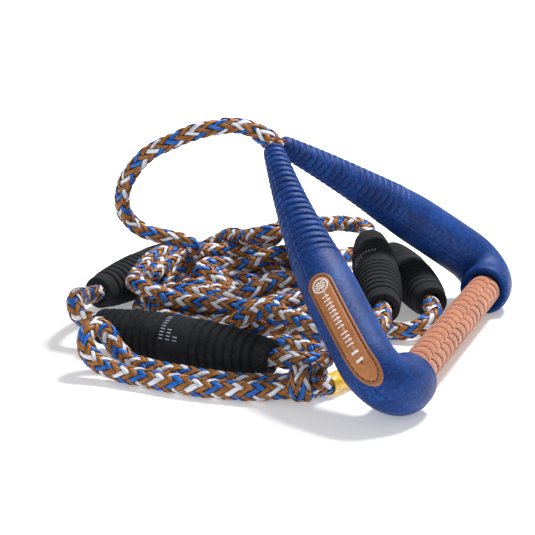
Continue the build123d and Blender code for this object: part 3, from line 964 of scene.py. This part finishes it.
def pucker_height(p, turn):
    """Height of the puckered suede under the wrap's outer radius."""
    place = (turn - SEAM_TURN - PUCKER_DRIFT * p / WRAP_END) / (2 * pi) * PUCKER_COLUMNS
    column = np.floor(place)
    u = place - column
    row = (p - pucker_edge(u)) / PUCKER_PITCH + 0.5 * (column % 2) + 0.07 * np.sin(column * 2.1 + p * 90)
    part = row - np.floor(row)
    pillow = np.clip(np.sin(pi * part ** 0.8), 0, 1) ** 0.45
    ends = np.clip(np.sin(pi * u), 0, 1) ** 0.3
    return -PUCKER_HEIGHT * (1 - pillow * (0.35 + 0.65 * ends))


def grip_surface(p, turn, height):
    """A point over the grip: p along the bar and a turn round it from +X towards +Z."""
    p, turn = np.asarray(p, float), np.asarray(turn, float)
    reach = GRIP_RADIUS + pucker_height(p, turn) + height
    return BAR + np.stack([reach * np.cos(turn), p, reach * np.sin(turn)], -1)


def make_grip():
    """The suede wrap in overlapping puckers, and the stitches along their edges."""
    p = np.linspace(-WRAP_END, WRAP_END, 400)
    turn = np.linspace(0, 2 * pi, 220, endpoint=False)
    grid_p, grid_turn = np.meshgrid(p, turn, indexing="ij")
    edge = np.clip((WRAP_END - np.abs(grid_p)) / 0.0012, 0, 1)
    verts = grip_surface(grid_p.ravel(), grid_turn.ravel(), -0.0009 * (1 - np.sqrt(edge.ravel())))
    wrap = mesh_object("grip_suede", verts, grid_faces(len(p), len(turn)), [suede], body="grip", slot="suede")
    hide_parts("grip_wrap")
    lines = []
    rows = int(2 * WRAP_END / PUCKER_PITCH) + 2
    u = np.linspace(0.05, 0.95, 25)
    for column in range(PUCKER_COLUMNS):
        for k in range(-rows // 2, rows // 2 + 1):
            line_p = (k - 0.5 * (column % 2)) * PUCKER_PITCH + pucker_edge(u) - STITCH_BACK
            turns = SEAM_TURN + (column + u) * 2 * pi / PUCKER_COLUMNS + PUCKER_DRIFT * line_p / WRAP_END
            keep = np.abs(line_p) < WRAP_END - 0.002
            if keep.sum() > 6:
                lines.append(np.stack([line_p[keep], turns[keep] * GRIP_RADIUS], -1))

    def flat(a, b, height):
        return grip_surface(a, b / GRIP_RADIUS, height)

    cut = [dash for line in lines for dash in dashes(line, 0.0022, 0.0014)]
    raised = strips(flat, cut, 0.0012, -0.0003, 0.0006)
    mesh_object("grip_thread", *raised, [grey_thread], body="grip", slot="suede")


make_grip()


# ---------------------------------------------------------------- floats
FLOAT_RIB_PITCH = 0.0074
FLOAT_RIB_DEPTH = 0.0021
FLOAT_BAND = (0.40, 0.55)       # where the plain band starts and ends, from 0 to 1 along the float
FLOAT_SMOOTH_END = 0.013
FLOAT_BORE = 0.0086


def float_profile(length):
    """Stations along a float and its outer radius there, ribs included."""
    x = np.arange(0.0012, length - 0.0011, 0.00037)
    radius = float_bulge(x / length)
    band = [FLOAT_BAND[0] * length, FLOAT_BAND[1] * length]
    for start, end in ((0.0, band[0]), (band[1], length - FLOAT_SMOOTH_END)):
        ribs = round((end - start) / FLOAT_RIB_PITCH)
        phase = (x - start) / (end - start) * ribs
        off = np.abs(phase - np.round(phase))
        inside = (phase > 0.4) & (phase < ribs + 0.2)
        groove = np.clip(1 - off / 0.19, 0, 1) ** 0.7
        crown = 0.0005 * np.sin(pi * np.clip(off, 0, 0.5)) ** 0.7
        radius = radius + np.where(inside, crown - FLOAT_RIB_DEPTH * groove, 0)
    return x, radius


def make_float(name, mark_turn=None):
    """A ribbed foam float on its rope, riding on its own body."""
    a, b = float_ends(name)
    length = np.linalg.norm(b - a)
    way = (b - a) / length
    side = unit(np.cross(way, (0.0, 0.0, 1.0)))
    top = np.cross(side, way)
    x, radius = float_profile(length)
    x = np.concatenate([[0.004, 0.0007, 0.0001, 0.0003, 0.0008], x,
                        [length - 0.0008, length - 0.0003, length - 0.0001, length - 0.0007, length - 0.004]])
    start, end = radius[0], radius[-1]
    rim = [FLOAT_BORE, FLOAT_BORE + 0.0002, FLOAT_BORE + 0.0010]
    radius = np.concatenate([rim, [start - 0.0013, start - 0.0004], radius,
                             [end - 0.0004, end - 0.0013], rim[::-1]])

    def surface(along_axis, turn, reach):
        around = side * np.cos(turn)[..., None] + top * np.sin(turn)[..., None]
        return a + along_axis[..., None] * way + reach[..., None] * around

    turn = np.linspace(0, 2 * pi, 96, endpoint=False)
    grid_x, grid_turn = np.meshgrid(x, turn, indexing="ij")
    uneven = 1 + 0.006 * np.sin(3 * grid_turn + 40 * grid_x) * np.sin(55 * grid_x + grid_turn)
    verts = surface(grid_x, grid_turn, radius[:, None] * uneven).reshape(-1, 3)
    foam = mesh_object(name + "_foam", verts, grid_faces(len(x), len(turn)), [black_foam], body=name,
                       slot="float_foam")
    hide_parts(name)

    def over(c, d, height):
        return surface(np.asarray(c, float), np.asarray(d, float) / FLOAT_MIDDLE_RADIUS,
                       float_bulge(np.asarray(c, float) / length) + height)

    if mark_turn is not None:
        marks = []
        for column, count in ((0.435, 9), (0.475, 4), (0.515, 2)):
            for k in range(count):
                place = mark_turn * FLOAT_MIDDLE_RADIUS + (k - 4.5) * 0.0028
                at = column * length
                marks.append([(at - 0.0020, place), (at, place), (at + 0.0020, place)])
        mesh_object(name + "_marks", *strips(over, marks, 0.0013, -0.0002, 0.0003), [grey_print], body=name,
                    slot="float_foam")


make_float("float_front", radians(55))
make_float("float_right", radians(60))
make_float("float_left")
make_float("float_rear")


# ---------------------------------------------------------------- floor, lights, world
FLOOR_HALF = 30.0
FLOOR_DROP = 0.0002
WORLD_STRENGTH = 0.34
LIGHT_AIM = (-0.05, 0, 0.05)
LIGHTS = (("key", (0.30, 0.65, 1.45), 38, 0.40), ("front_fill", (0.3, -1.7, 1.0), 6, 0.8))   # power, width


def make_stage():
    """A pale floor, a soft key high behind on the right and a weak front fill: the near sides stay dark."""
    n = Nodes("floor")
    n.shader.inputs["Base Color"].default_value = (0.93, 0.93, 0.93, 1)
    away = n.add("ShaderNodeVectorMath", {0: n.place()}, operation="LENGTH").outputs["Value"]
    n.link(n.ramp(away, [(0.40, (0.28, 0.28, 0.28)), (1.0, (0.80, 0.80, 0.80))]), "Emission Color")
    n.shader.inputs["Emission Strength"].default_value = 1.0
    n.set(roughness=0.9, specular=0.1)
    mesh = bpy.data.meshes.new("floor")
    corners = [(x * FLOOR_HALF, y * FLOOR_HALF, 0) for x, y in ((-1, -1), (1, -1), (1, 1), (-1, 1))]
    mesh.from_pydata(corners, [], [(0, 1, 2, 3)])
    mesh.materials.append(n.material)
    floor = bpy.data.objects.new("floor", mesh)
    floor.location.z = -FLOOR_DROP
    bpy.context.scene.collection.objects.link(floor)

    world = bpy.data.worlds.new("world")
    world.use_nodes = True
    world.node_tree.nodes["Background"].inputs["Color"].default_value = (1, 1, 1, 1)
    world.node_tree.nodes["Background"].inputs["Strength"].default_value = WORLD_STRENGTH
    bpy.context.scene.world = world

    for name, place, energy, width in LIGHTS:
        data = bpy.data.lights.new(name, "AREA")
        data.energy = energy
        data.size = width
        light = bpy.data.objects.new(name, data)
        light.location = place
        light.rotation_euler = (Vector(LIGHT_AIM) - Vector(place)).to_track_quat("-Z", "Y").to_euler()
        bpy.context.scene.collection.objects.link(light)
    bpy.context.scene.view_settings.view_transform = "Standard"


make_stage()
